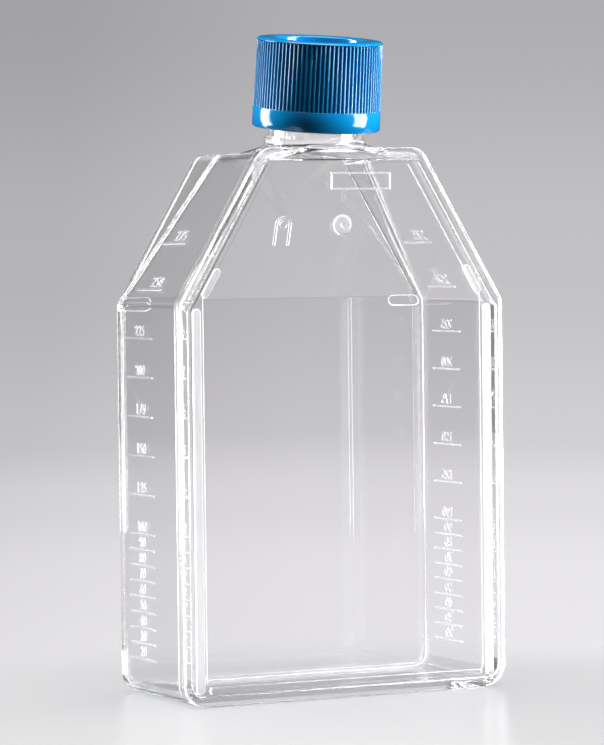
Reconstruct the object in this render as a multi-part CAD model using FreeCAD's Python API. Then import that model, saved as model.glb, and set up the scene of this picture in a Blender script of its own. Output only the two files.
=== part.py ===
"""Cell culture flask: canted-neck vessel in two welded mouldings, with a vented screw cap.

Frame: +Z up the flask as it stands on its base, front plate facing -Y, back wall (the growth
surface) facing +Y. The origin is the centre of the base. Millimetres throughout.
"""
import FreeCAD, Part
import math
import os

from FreeCAD import Vector

# ---- driving dimensions: outline -------------------------------------------------------------
flange_width = 84.0          # over the weld flange, across X
flask_depth = 38.5           # front rim to back wall, across Y
shoulder_height = 92.2       # where the side walls turn inwards
front_height = 127.9         # top edge of the front plate
top_width = 41.6             # flange width at the top edge, before its corners are rounded
base_corner_radius = 5.6
shoulder_corner_radius = 2.6
top_corner_radius = 4.4
flange_lip = 1.0             # the flange stands this far outside the walls
flange_thickness = 1.4
flange_edge_radius = 0.35
seam_chamfer = 0.2           # the weld shows as a fine groove round the flange

# ---- driving dimensions: body ----------------------------------------------------------------
wall = 1.5
base_wall = 1.7
base_corner_ease = 0.3       # added to the walls' base corners, inside the flange's own
back_edge_radius = 1.0
cavity_edge_radius = 1.6
ramp_start_height = 92.8     # the back wall leaves its plane here
ramp_rise = 11.3             # how far it has come forward at the front plate's top edge
skirt_thickness = 1.9        # side skirts that keep the back plane beside the ramp
back_bar_length = 9.8        # stacking bars on the back, measured in from the side walls
back_bar_width = 2.8
back_bar_rise = 0.6
back_bar_drop = 1.2          # of its middle below the start of the ramp
gate_arch_width = 4.3
gate_arch_height = 7.2
gate_arch_line = 0.6
gate_arch_rise = 0.4
gate_arch_drop = 19.0        # of its middle below the front plate's top edge
gate_dot_radius = 0.9

# ---- driving dimensions: graduation lines ----------------------------------------------------
graduations_ml = [20, 30, 40, 50, 60, 70, 80, 90, 100, 125, 150, 175, 200, 225]
shoulder_graduation_rises = [3.1, 13.8]   # of the 250 and 275 ml lines, above the shoulder
graduation_headroom = 1.5    # a line on the straight wall stays this far below the shoulder
graduation_length = 13.4
graduation_width = 0.4
graduation_rise = 0.2
graduation_back_gap = 6.8    # from the back plane to the line's near end
shoulder_graduation_shift = 1.3   # the shoulder's lines stand this much nearer the front

# ---- driving dimensions: front plate ---------------------------------------------------------
panel_thickness = 1.5
rim_rise = 0.9               # rim above the panel
rim_edge_radius = 0.5
rim_base_width = 2.6
rim_side_width = 2.0
rim_slant_width = 2.6
rim_top_width = 3.1
border_step = 0.3            # shallow border between the rim and the panel
border_side_width = 3.9
border_slant_width = 1.8
border_top_width = 0.8
border_base_width = 0.5
tongue_thickness = 1.2
tongue_depth = 1.8
tongue_clearance = 0.15
bar_rise = 0.7
bar_edge_radius = 0.35
side_bar_width = 2.2
side_bar_gap = 1.1           # from the rim's inner edge
side_bar_end_gap = 0.4
side_bar_top_gap = 1.0
shoulder_bar_length = 7.6
shoulder_bar_width = 1.8
shoulder_bar_inset = 4.5     # from the flange's edge to the bar's middle
shoulder_bar_end_gap = 4.3   # from the shoulder corner, along the slope
base_bar_length = 71.2
base_bar_width = 1.7
base_bar_gap = 0.25
gate_mark_drop = 18.0        # below the front plate's top edge
gate_mark_radius = 2.4
gate_mark_rise = 0.5
gate_mark_land = 0.85        # width of its raised ring
gate_mark_slope = 0.7        # width of the slope outside the ring
gate_mark_dish = 0.35        # depth of the hollow in its middle
label_frame_length = 15.6
label_frame_height = 4.0
label_frame_line = 0.35
label_frame_rise = 0.2
label_frame_left = -2.9
label_frame_drop = 5.8       # of its top below the front plate's top edge

# ---- driving dimensions: neck ----------------------------------------------------------------
neck_cant_degrees = 7.6      # the neck leans towards the front plate
neck_axis_offset = -4.6      # where its axis meets the height of the front plate's top edge
neck_radius = 11.1
neck_bore_radius = 9.6
collar_radius = 12.0
collar_top = 2.5             # along the neck's axis, from the height of the front plate's top edge
fairing_radius = 18.0        # cone that carries the top wall up to the collar
fairing_height = 1.8
neck_length = 20.2           # from the front plate's top height to the lip, along the axis
plate_top_gap = 0.2          # the collar's underside clears the front plate's top edge

# ---- driving dimensions: thread --------------------------------------------------------------
thread_pitch = 4.0
thread_depth = 1.2
thread_base_width = 1.7
thread_crest_width = 0.8
neck_thread_turns = 1.5
cap_thread_turns = 1.25
neck_thread_start = 10.6     # along the neck's axis
thread_flank_gap = 0.3
thread_crest_gap = 0.35      # crest of either thread to the other's wall
thread_root_overlap = 0.35   # how far a ridge's foot is sunk into its own wall

# ---- driving dimensions: cap -----------------------------------------------------------------
cap_height = 20.8
cap_ring_height = 4.8        # plain ring round the open end
cap_ring_chamfer = 0.3
cap_ring_radius = 15.0
cap_rib_radius = 14.95       # over the ribs where they meet the ring
cap_rib_depth = 0.45
cap_rib_count = 90
cap_rib_crest_share = 0.42   # of one rib's pitch
cap_taper = 0.3              # the ribbed side is narrower by this much at the top
cap_top_bead_height = 0.6
cap_top_bead_proud = 0.1     # beyond the ribs' crests
cap_top_bead_chamfer = 0.35
cap_mouth_chamfer = 0.6
cap_recess_radius = 10.2
cap_recess_depth = 2.8
cap_recess_edge = 0.4
cap_top_thickness = 1.5
cap_core_wall = 1.3          # round the recess; a groove in the underside leaves this thickness
vent_hole_radius = 1.1
vent_hole_count = 6
vent_circle_radius = 4.6
seal_thickness = 1.2
seal_wall_gap = 0.3
seal_bead_height = 0.5       # ring inside the cap that keeps the seal in
membrane_radius = 7.6
membrane_thickness = 0.3
membrane_seal_gap = 0.4      # between the membrane's edge and the seal ring

overshoot = 1.0              # how far cutting shapes reach past the faces they cut
hair = 0.01                  # tolerance for telling which plane an edge lies in

# ---- levels and outlines worked out from them ------------------------------------------------
front_y = -flask_depth / 2
back_y = flask_depth / 2
panel_y = front_y + rim_rise
seam_y = panel_y + panel_thickness
flange_back_y = seam_y + flange_thickness


def outline_corners(width, narrow_width, turn_height, height):
    """Corners of the house-shaped outline in the XZ plane, anticlockwise from the base's left."""
    half = width / 2
    narrow = narrow_width / 2
    return [
        Vector(-half, 0, 0),
        Vector(half, 0, 0),
        Vector(half, 0, turn_height),
        Vector(narrow, 0, height),
        Vector(-narrow, 0, height),
        Vector(-half, 0, turn_height),
    ]


def cross_xz(first, second):
    """Cross product of two directions that lie in the XZ plane."""
    return first.x * second.z - first.z * second.x


def inset_outline(corners, base, side, slant, top):
    """Move each edge of an outline inwards by its own distance and return the new corners."""
    distances = [base, side, slant, top, slant, side]
    lines = []
    for start, end, distance in zip(corners, corners[1:] + corners[:1], distances):
        along = (end - start).normalize()
        inward = Vector(-along.z, 0, along.x)
        lines.append((start + inward * distance, along))
    moved = []
    for before, here in zip(lines[-1:] + lines[:-1], lines):
        travel = cross_xz(here[0] - before[0], here[1]) / cross_xz(before[1], here[1])
        moved.append(before[0] + before[1] * travel)
    return moved


def outline_radii(inset, least=wall / 2):
    """Corner radii of the outline when it is drawn inside the flange by an even distance."""
    base = max(base_corner_radius - inset, least)
    shoulder = max(shoulder_corner_radius - inset, least)
    top = max(top_corner_radius - inset, least)
    return [base, base, shoulder, top, top, shoulder]


def rounded_wire(corners, radii, y):
    """Closed wire through the corners in the plane Y = y, with each corner rounded."""
    edges = []
    trimmed = []
    for before, here, after, radius in zip(
        corners[-1:] + corners[:-1], corners, corners[1:] + corners[:1], radii
    ):
        back = (before - here).normalize()
        ahead = (after - here).normalize()
        half_angle = back.getAngle(ahead) / 2
        setback = radius / math.tan(half_angle)
        centre = here + (back + ahead).normalize() * (radius / math.sin(half_angle))
        middle = centre + (here - centre).normalize() * radius
        trimmed.append((here + back * setback, middle, here + ahead * setback))
    lift = Vector(0, y, 0)
    for arc, following in zip(trimmed, trimmed[1:] + trimmed[:1]):
        edges.append(Part.Arc(arc[0] + lift, arc[1] + lift, arc[2] + lift).toShape())
        edges.append(Part.LineSegment(arc[2] + lift, following[0] + lift).toShape())
    return Part.Wire(edges)


def prism(corners, radii, y_start, y_end):
    """Solid between two Y levels with a rounded outline."""
    face = Part.Face(rounded_wire(corners, radii, y_start))
    return face.extrude(Vector(0, y_end - y_start, 0))


def box(x_low, x_high, y_low, y_high, z_low, z_high):
    """Box between low and high values on each axis."""
    size = (x_high - x_low, y_high - y_low, z_high - z_low)
    return Part.makeBox(*size, Vector(x_low, y_low, z_low))


def edges_at(shape, y):
    """Edges of a shape that lie in the plane at one Y level."""
    return [
        edge for edge in shape.Edges
        if edge.BoundBox.YMin > y - hair and edge.BoundBox.YMax < y + hair
    ]


def slot_bar(start, end, width, y_foot, y_crown, edge_radius=0):
    """Bar with round ends between two points of the XZ plane, rounded over at its crown."""
    along = (end - start).normalize()
    side = Vector(-along.z, 0, along.x) * (width / 2)
    lift = Vector(0, y_foot, 0)
    first = start + along * (width / 2)
    last = end - along * (width / 2)
    tip_end = end + lift
    tip_start = start + lift
    wire = Part.Wire([
        Part.LineSegment(first - side + lift, last - side + lift).toShape(),
        Part.Arc(last - side + lift, tip_end, last + side + lift).toShape(),
        Part.LineSegment(last + side + lift, first + side + lift).toShape(),
        Part.Arc(first + side + lift, tip_start, first - side + lift).toShape(),
    ])
    bar = Part.Face(wire).extrude(Vector(0, y_crown - y_foot, 0))
    return bar.makeFillet(edge_radius, edges_at(bar, y_crown)) if edge_radius else bar


flange_outline = outline_corners(flange_width, top_width, shoulder_height, front_height)
body_outline = inset_outline(flange_outline, 0, flange_lip, flange_lip, flange_lip)
cavity_outline = inset_outline(body_outline, base_wall, wall, wall, wall)
skirt_outline = inset_outline(body_outline, base_wall, skirt_thickness, skirt_thickness, -overshoot)

cavity_radii = outline_radii(flange_lip + wall, cavity_edge_radius + wall / 4)

ramp_slope = ramp_rise / (front_height - ramp_start_height)
ramp_angle = math.atan(ramp_slope)


def ramp_y(height):
    """Y of the outer face of the ramp at a height above its start."""
    return back_y - ramp_slope * (height - ramp_start_height)


def behind_ramp(depth):
    """Everything behind a plane that lies a given depth inside the ramp's outer face."""
    shift = depth / math.cos(ramp_angle)
    reach = front_height + neck_length
    far = back_y + overshoot
    low = ramp_start_height - (shift + overshoot) / ramp_slope
    points = [
        Vector(-flange_width, far, low),
        Vector(-flange_width, far, reach),
        Vector(-flange_width, ramp_y(reach) - shift, reach),
        Vector(-flange_width, far, low),
    ]
    return Part.Face(Part.makePolygon(points)).extrude(Vector(2 * flange_width, 0, 0))


# ---- neck frame ------------------------------------------------------------------------------
cant = math.radians(neck_cant_degrees)
neck_origin = Vector(0, neck_axis_offset, front_height)


def on_neck(shape):
    """Move a shape built about the Z axis onto the canted neck axis."""
    placed = shape.copy()
    placed.rotate(Vector(0, 0, 0), Vector(1, 0, 0), neck_cant_degrees)
    placed.translate(neck_origin)
    return placed


def turned(profile):
    """Solid of revolution about the Z axis from (radius, height) points."""
    points = [Vector(radius, 0, height) for radius, height in profile]
    face = Part.Face(Part.makePolygon(points + points[:1]))
    return face.revolve(Vector(0, 0, 0), Vector(0, 0, 1), 360)


def thread_ridge(wall_radius, direction, start, turns):
    """Right-handed ridge on a wall: direction is +1 outwards from a neck, -1 inwards in a cap."""
    foot = wall_radius - direction * thread_root_overlap
    crest = wall_radius + direction * thread_depth
    widen = thread_root_overlap * (thread_base_width - thread_crest_width) / (2 * thread_depth)
    foot_half = thread_base_width / 2 + widen
    crest_half = thread_crest_width / 2
    profile = Part.makePolygon([
        Vector(foot, 0, start - foot_half),
        Vector(foot, 0, start + foot_half),
        Vector(crest, 0, start + crest_half),
        Vector(crest, 0, start - crest_half),
        Vector(foot, 0, start - foot_half),
    ])
    path = Part.makeHelix(thread_pitch, thread_pitch * turns, wall_radius)
    path.translate(Vector(0, 0, start))
    return Part.Wire(path.Edges).makePipeShell([profile], True, True)


cap_inner_radius = neck_radius + thread_depth + thread_crest_gap
flank_taper = (thread_base_width - thread_crest_width) / (2 * thread_depth)
flank_contact = thread_base_width - flank_taper * (cap_inner_radius - neck_radius)
cap_thread_start = neck_thread_start - flank_contact - thread_flank_gap

seal_top = neck_length + seal_thickness
cap_top = seal_top + cap_top_thickness + cap_recess_depth
cap_bottom = cap_top - cap_height


# ---- flask body ------------------------------------------------------------------------------
def internal_area():
    """Section of the chamber below the shoulder, in square millimetres."""
    width = flange_width - 2 * (flange_lip + wall)
    return width * (back_y - wall - seam_y)


def graduation_height(millilitres):
    """Height of a filling mark: the chamber is a plain prism below the shoulder."""
    return base_wall + millilitres * 1000 / internal_area()


def wall_graduation_heights():
    """Heights of the filling marks that fit on the straight part of the walls."""
    heights = [graduation_height(amount) for amount in graduations_ml]
    return [height for height in heights if height < shoulder_height - graduation_headroom]


def graduation_lines():
    """Raised lines on the outer faces of both side walls and both shoulders."""
    half = flange_width / 2 - flange_lip
    far_y = back_y - graduation_back_gap
    near_y = far_y - graduation_length
    slope_run = flange_outline[2].x - flange_outline[3].x
    slope_rise = front_height - shoulder_height
    slope_angle = math.degrees(math.atan2(slope_run, slope_rise))
    lines = []
    for middle in wall_graduation_heights():
        low = middle - graduation_width / 2
        high = middle + graduation_width / 2
        lines.append(box(half - wall / 2, half + graduation_rise, near_y, far_y, low, high))
    turn = body_outline[2]
    for rise in shoulder_graduation_rises:
        travel = (shoulder_height + rise - turn.z) / math.cos(math.radians(slope_angle))
        low = travel - graduation_width / 2
        high = travel + graduation_width / 2
        line = box(-wall / 2, graduation_rise, near_y, far_y, low, high)
        line.translate(Vector(0, -shoulder_graduation_shift, 0))
        line.rotate(Vector(0, 0, 0), Vector(0, 1, 0), -slope_angle)
        line.translate(Vector(turn.x, 0, turn.z))
        lines.append(line)
    return lines + [line.mirror(Vector(0, 0, 0), Vector(1, 0, 0)) for line in lines]


def back_bars():
    """Short stacking bars on the back wall just below the ramp, one from each side wall."""
    half = flange_width / 2 - flange_lip
    height = ramp_start_height - back_bar_drop
    bar = slot_bar(
        Vector(half - back_bar_length, 0, height),
        Vector(half - back_edge_radius, 0, height),
        back_bar_width,
        back_y - wall / 2,
        back_y + back_bar_rise,
        bar_edge_radius,
    )
    return [bar, bar.mirror(Vector(0, 0, 0), Vector(1, 0, 0))]


def gate_arch():
    """Arch-shaped gate mark with its dot on the outer face of the ramp."""
    middle = front_height - gate_arch_drop
    top = middle + gate_arch_height / 2
    bottom = middle - gate_arch_height / 2
    low_y = -wall / 2
    tail = Vector(0, 0, bottom - gate_arch_width)
    outer = slot_bar(tail, Vector(0, 0, top), gate_arch_width, low_y, gate_arch_rise)
    inner = slot_bar(
        tail,
        Vector(0, 0, top - gate_arch_line),
        gate_arch_width - 2 * gate_arch_line,
        low_y - overshoot,
        gate_arch_rise + overshoot,
    )
    foot = box(-gate_arch_width, gate_arch_width, low_y, gate_arch_rise, bottom, top + gate_arch_width)
    arch = outer.cut(inner).common(foot)
    dot_foot = Vector(0, low_y, top - gate_arch_width / 2)
    dot = Part.makeCylinder(gate_dot_radius, gate_arch_rise - low_y, dot_foot, Vector(0, 1, 0))
    marks = [arch, dot]
    for mark in marks:
        mark.rotate(Vector(0, 0, middle), Vector(1, 0, 0), math.degrees(ramp_angle))
        mark.translate(Vector(0, ramp_y(middle), 0))
    return marks


def cone_about_neck_foot(drop):
    """Upright cone over the neck's foot, lowered by a distance from the outer fairing."""
    base = front_height - flange_lip - drop
    lower = collar_radius - wall
    cone = turned([
        (0, base - overshoot),
        (fairing_radius, base - overshoot),
        (fairing_radius, base),
        (lower, base + fairing_height * (fairing_radius - lower) / (fairing_radius - collar_radius)),
        (0, base + fairing_height),
    ])
    cone.translate(Vector(0, neck_axis_offset, 0))
    return cone


def neck_solid():
    """Neck with its collar and the fairing below it, before the bore."""
    foot = -flange_lip - wall - collar_radius * math.sin(cant)
    neck = on_neck(turned([
        (0, foot),
        (collar_radius, foot),
        (collar_radius, collar_top - (collar_radius - neck_radius) / 2),
        (neck_radius, collar_top + (collar_radius - neck_radius) / 2),
        (neck_radius, neck_length - wall / 2),
        (neck_radius - wall / 4, neck_length),
        (0, neck_length),
    ]))
    ahead = front_y - neck_length
    plate_top = front_height + plate_top_gap
    wall_middle = front_height - flange_lip - wall / 2
    above_neck = front_height + 2 * neck_length
    clear_of_plate = box(-flange_width, flange_width, ahead, seam_y, 0, plate_top)
    above_plate = box(-flange_width, flange_width, ahead, seam_y, 0, above_neck)
    above_wall = box(-flange_width, flange_width, ahead, back_y, wall_middle, above_neck)
    fairing = cone_about_neck_foot(0).cut([above_plate, behind_ramp(0)])
    return neck.cut(clear_of_plate).fuse(fairing).common(above_wall)


def chamber():
    """Hollow of the body: rounded inside, with the ramp, and raised under the fairing."""
    hollow = prism(cavity_outline, cavity_radii, seam_y - overshoot, back_y - wall)
    hollow = hollow.cut(behind_ramp(wall))
    back_edges = [edge for edge in hollow.Edges if edge.BoundBox.YMin > seam_y + wall]
    hollow = hollow.makeFillet(cavity_edge_radius, back_edges)
    fairing_angle = math.atan(fairing_height / (fairing_radius - collar_radius))
    raised = cone_about_neck_foot(wall / math.cos(fairing_angle))
    above_neck = front_height + 2 * neck_length
    behind_front_wall = box(-flange_width, flange_width, seam_y + wall, back_y, 0, above_neck)
    return hollow.fuse(raised.common(behind_front_wall).cut(behind_ramp(wall)))


def flask_body():
    """Deep half of the flask with its ramp, flange, canted neck and thread."""
    corner = base_corner_radius - flange_lip + base_corner_ease
    shell = prism(body_outline, [corner, corner] + outline_radii(flange_lip)[2:], seam_y, back_y)
    back_edges = [edge for edge in shell.Edges if edge.CenterOfMass.y > back_y - wall / 2]
    shell = shell.makeFillet(back_edge_radius, back_edges)
    skirt_radii = outline_radii(flange_lip + skirt_thickness)
    pocket = prism(skirt_outline, skirt_radii, front_y, back_y + overshoot)
    shell = shell.cut(pocket.common(behind_ramp(0)))
    flange = prism(flange_outline, outline_radii(0), seam_y, flange_back_y)
    flange = flange.makeFillet(flange_edge_radius, edges_at(flange, flange_back_y))
    foot = -flange_lip - wall - neck_bore_radius * math.sin(cant) - overshoot
    bore_length = neck_length - foot + overshoot
    bore = on_neck(Part.makeCylinder(neck_bore_radius, bore_length, Vector(0, 0, foot)))
    thread = on_neck(thread_ridge(neck_radius, 1, neck_thread_start, neck_thread_turns))
    solid = shell.fuse([flange, neck_solid()]).cut(chamber()).cut(bore)
    solid = solid.fuse([thread] + graduation_lines() + back_bars() + gate_arch())
    return solid.removeSplitter()


# ---- front plate -----------------------------------------------------------------------------
def front_bars():
    """Stacking bars on the panel: one along each side, one on each shoulder, one along the base."""
    crown_y = panel_y - bar_rise
    foot_y = panel_y + panel_thickness / 2
    side_x = flange_width / 2 - rim_side_width - side_bar_gap - side_bar_width / 2
    side_bar = slot_bar(
        Vector(side_x, 0, rim_base_width + side_bar_end_gap),
        Vector(side_x, 0, shoulder_height - side_bar_top_gap),
        side_bar_width, foot_y, crown_y, bar_edge_radius,
    )
    corner = flange_outline[2]
    upwards = (flange_outline[3] - corner).normalize()
    inwards = Vector(-upwards.z, 0, upwards.x)
    lower_end = corner + inwards * shoulder_bar_inset + upwards * shoulder_bar_end_gap
    shoulder_bar = slot_bar(
        lower_end, lower_end + upwards * shoulder_bar_length,
        shoulder_bar_width, foot_y, crown_y, bar_edge_radius,
    )
    base_z = rim_base_width + base_bar_gap + base_bar_width / 2
    base_bar = slot_bar(
        Vector(-base_bar_length / 2, 0, base_z), Vector(base_bar_length / 2, 0, base_z),
        base_bar_width, foot_y, crown_y, bar_edge_radius,
    )
    pair = [side_bar, shoulder_bar]
    return pair + [bar.mirror(Vector(0, 0, 0), Vector(1, 0, 0)) for bar in pair] + [base_bar]


def gate_mark():
    """Low round boss with a dished middle where the panel was filled."""
    foot = -panel_thickness / 2
    boss = turned([
        (0, foot),
        (gate_mark_radius, foot),
        (gate_mark_radius, gate_mark_rise / 2),
        (gate_mark_radius - gate_mark_slope, gate_mark_rise),
        (gate_mark_radius - gate_mark_slope - gate_mark_land, gate_mark_rise),
        (0, gate_mark_rise - gate_mark_dish),
    ])
    boss.rotate(Vector(0, 0, 0), Vector(1, 0, 0), 90)
    boss.translate(Vector(0, panel_y, front_height - gate_mark_drop))
    return boss


def label_frame():
    """Raised empty frame on the panel below the neck."""
    right = label_frame_left + label_frame_length
    top = front_height - label_frame_drop
    bottom = top - label_frame_height
    low_y = panel_y - label_frame_rise
    high_y = panel_y + panel_thickness / 2
    outer = box(label_frame_left, right, low_y, high_y, bottom, top)
    inner = box(
        label_frame_left + label_frame_line, right - label_frame_line,
        low_y - overshoot, high_y + overshoot,
        bottom + label_frame_line, top - label_frame_line,
    )
    return outer.cut(inner)


def front_plate():
    """Flat lid of the body with its raised rim, stacking bars and locating tongue."""
    plate = prism(flange_outline, outline_radii(0), front_y, seam_y)
    plate = plate.makeChamfer(seam_chamfer, edges_at(plate, seam_y))
    rim_widths = (rim_base_width, rim_side_width, rim_slant_width, rim_top_width)
    border_widths = (border_base_width, border_side_width, border_slant_width, border_top_width)
    inner_rim = inset_outline(flange_outline, *rim_widths)
    panel = inset_outline(inner_rim, *border_widths)
    ahead = front_y - overshoot
    plate = plate.cut(prism(inner_rim, outline_radii(rim_slant_width), ahead, panel_y - border_step))
    plate = plate.makeFillet(rim_edge_radius, edges_at(plate, front_y))
    plate = plate.cut(prism(panel, outline_radii(rim_slant_width), ahead, panel_y))
    tongue_outline = inset_outline(cavity_outline, *[tongue_clearance] * 4)
    tongue_hole = inset_outline(tongue_outline, *[tongue_thickness] * 4)
    tongue_end = seam_y + tongue_depth
    tongue = prism(tongue_outline, cavity_radii, panel_y + panel_thickness / 2, tongue_end)
    hole_radii = outline_radii(flange_lip + wall + tongue_clearance + tongue_thickness)
    tongue = tongue.cut(prism(tongue_hole, hole_radii, panel_y, tongue_end + overshoot))
    return plate.fuse([tongue, gate_mark(), label_frame()] + front_bars()).removeSplitter()


# ---- cap, seal and membrane ------------------------------------------------------------------
def ribbed_wire(radius, height):
    """Closed wire round the ribbed side of the cap at one height."""
    points = []
    pitch = 2 * math.pi / cap_rib_count
    crest_half = pitch * cap_rib_crest_share / 2
    flank = (pitch / 2 - crest_half) / 2
    for index in range(cap_rib_count):
        middle = index * pitch
        for turn, reach in (
            (-crest_half - flank, radius - cap_rib_depth),
            (-crest_half, radius),
            (crest_half, radius),
            (crest_half + flank, radius - cap_rib_depth),
        ):
            angle = middle + turn
            points.append(Vector(reach * math.cos(angle), reach * math.sin(angle), height))
    return Part.makePolygon(points + points[:1])


def screw_cap():
    """Ribbed cap with its plain ring, recessed top, vent holes and internal thread."""
    rib_foot = cap_bottom + cap_ring_height - overshoot / 2
    rib_top = cap_top - cap_top_bead_height / 2
    ribs = Part.makeLoft(
        [ribbed_wire(cap_rib_radius, rib_foot), ribbed_wire(cap_rib_radius - cap_taper, rib_top)], True, True
    )
    bead_radius = cap_rib_radius - cap_taper + cap_top_bead_proud
    ring = turned([
        (0, cap_bottom),
        (cap_ring_radius - cap_ring_chamfer, cap_bottom),
        (cap_ring_radius, cap_bottom + cap_ring_chamfer),
        (cap_ring_radius, cap_bottom + cap_ring_height - cap_ring_chamfer / 2),
        (cap_ring_radius - cap_ring_chamfer / 2, cap_bottom + cap_ring_height),
        (0, cap_bottom + cap_ring_height),
    ])
    bead = turned([
        (0, cap_top - cap_top_bead_height),
        (bead_radius, cap_top - cap_top_bead_height),
        (bead_radius, cap_top - cap_top_bead_chamfer),
        (bead_radius - cap_top_bead_chamfer, cap_top),
        (0, cap_top),
    ])
    recess = turned([
        (0, cap_top - cap_recess_depth),
        (cap_recess_radius - cap_recess_edge, cap_top - cap_recess_depth),
        (cap_recess_radius, cap_top - cap_recess_depth + cap_recess_edge),
        (cap_recess_radius, cap_top - cap_recess_edge),
        (cap_recess_radius + cap_recess_edge, cap_top),
        (cap_recess_radius + cap_recess_edge, cap_top + overshoot),
        (0, cap_top + overshoot),
    ])
    bead_low = neck_length - seal_wall_gap - seal_bead_height
    bead_inner = cap_inner_radius - seal_bead_height
    groove_inner = cap_recess_radius + cap_core_wall
    hollow = turned([
        (0, cap_bottom - overshoot),
        (cap_inner_radius + cap_mouth_chamfer, cap_bottom - overshoot),
        (cap_inner_radius + cap_mouth_chamfer, cap_bottom),
        (cap_inner_radius, cap_bottom + cap_mouth_chamfer),
        (cap_inner_radius, bead_low),
        (bead_inner, bead_low + seal_bead_height / 2),
        (cap_inner_radius, bead_low + seal_bead_height),
        (cap_inner_radius, cap_top - cap_core_wall),
        (groove_inner, cap_top - cap_core_wall),
        (groove_inner, seal_top),
        (0, seal_top),
    ])
    vents = []
    for index in range(vent_hole_count):
        angle = 2 * math.pi * index / vent_hole_count
        place = Vector(vent_circle_radius * math.cos(angle), vent_circle_radius * math.sin(angle), seal_top)
        vents.append(Part.makeCylinder(
            vent_hole_radius, cap_top_thickness + 2 * overshoot, place - Vector(0, 0, overshoot)
        ))
    thread = thread_ridge(cap_inner_radius, -1, cap_thread_start, cap_thread_turns)
    cap = ribs.fuse([ring, bead]).cut([recess, hollow] + vents)
    return on_neck(cap.removeSplitter().fuse(thread))


def seal_ring():
    """Flat liner ring between the neck's lip and the underside of the cap's top."""
    inner = membrane_radius + membrane_seal_gap
    outer = cap_inner_radius - seal_wall_gap
    return on_neck(turned([
        (inner, neck_length), (outer, neck_length), (outer, seal_top), (inner, seal_top)
    ]))


def vent_membrane():
    """Thin disc sealed over the vent holes on the underside of the cap's top."""
    return on_neck(Part.makeCylinder(
        membrane_radius, membrane_thickness, Vector(0, 0, seal_top - membrane_thickness)
    ))


os.makedirs("parts", exist_ok=True)
for name, shape in {
    "flask_body": flask_body(),
    "front_plate": front_plate(),
    "screw_cap": screw_cap(),
    "seal_ring": seal_ring(),
    "vent_membrane": vent_membrane(),
}.items():
    print(name, shape.isValid(), len(shape.Solids), round(shape.Volume), shape.BoundBox)
    shape.exportStep("parts/" + name + ".step")
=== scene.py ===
"""Looks of the cell culture flask: a clear welded vessel, its moulded marks and a blue ribbed cap.

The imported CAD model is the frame. The vessel's two mouldings are joined into one clear shell, as
the weld joins them. The raised figures beside the filling lines and the two cavity digits are added
here. All lengths are metres; the flask stands on the floor with its front plate towards -Y.
"""
import logging
import math
from dataclasses import dataclass
from enum import Enum

import bmesh
import bpy
from mathutils import Matrix, Vector


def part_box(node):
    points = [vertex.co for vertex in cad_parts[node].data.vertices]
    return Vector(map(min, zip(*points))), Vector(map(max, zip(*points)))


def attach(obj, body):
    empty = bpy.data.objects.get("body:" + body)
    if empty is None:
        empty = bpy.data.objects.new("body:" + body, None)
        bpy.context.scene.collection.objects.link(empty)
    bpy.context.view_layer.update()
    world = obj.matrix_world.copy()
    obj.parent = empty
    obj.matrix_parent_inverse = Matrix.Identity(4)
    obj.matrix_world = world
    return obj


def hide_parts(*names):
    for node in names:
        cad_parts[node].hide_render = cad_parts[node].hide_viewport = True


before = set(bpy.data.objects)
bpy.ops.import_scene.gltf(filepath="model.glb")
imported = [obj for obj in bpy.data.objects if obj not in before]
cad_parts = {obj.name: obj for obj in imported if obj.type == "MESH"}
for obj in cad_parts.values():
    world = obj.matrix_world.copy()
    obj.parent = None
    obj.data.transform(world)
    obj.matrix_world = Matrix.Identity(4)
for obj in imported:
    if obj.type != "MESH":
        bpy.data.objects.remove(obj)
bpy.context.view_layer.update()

MM = 0.001
MILLILITRE = 1e-6
MERGE_DISTANCE = 0.0005 * MM
BOUNCES = 128
TRANSPARENT_BOUNCES = 64
# The marks of handling: the noise levels between which they fade in, the stretch of the hair
# scratches along Z, and how much the patches show by themselves.
RUBBED_REACH = (0.5, 0.75)
HAIR_REACH = (0.66, 0.72)
HAIR_STRETCH = 0.08
RUBBED_SHARE = 0.25

logging.basicConfig(level=logging.INFO, format="%(levelname)s %(message)s")
log = logging.getLogger("flask")

Colour = tuple[float, float, float]
Pair = tuple[float, float]
Socket = bpy.types.NodeSocket


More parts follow.
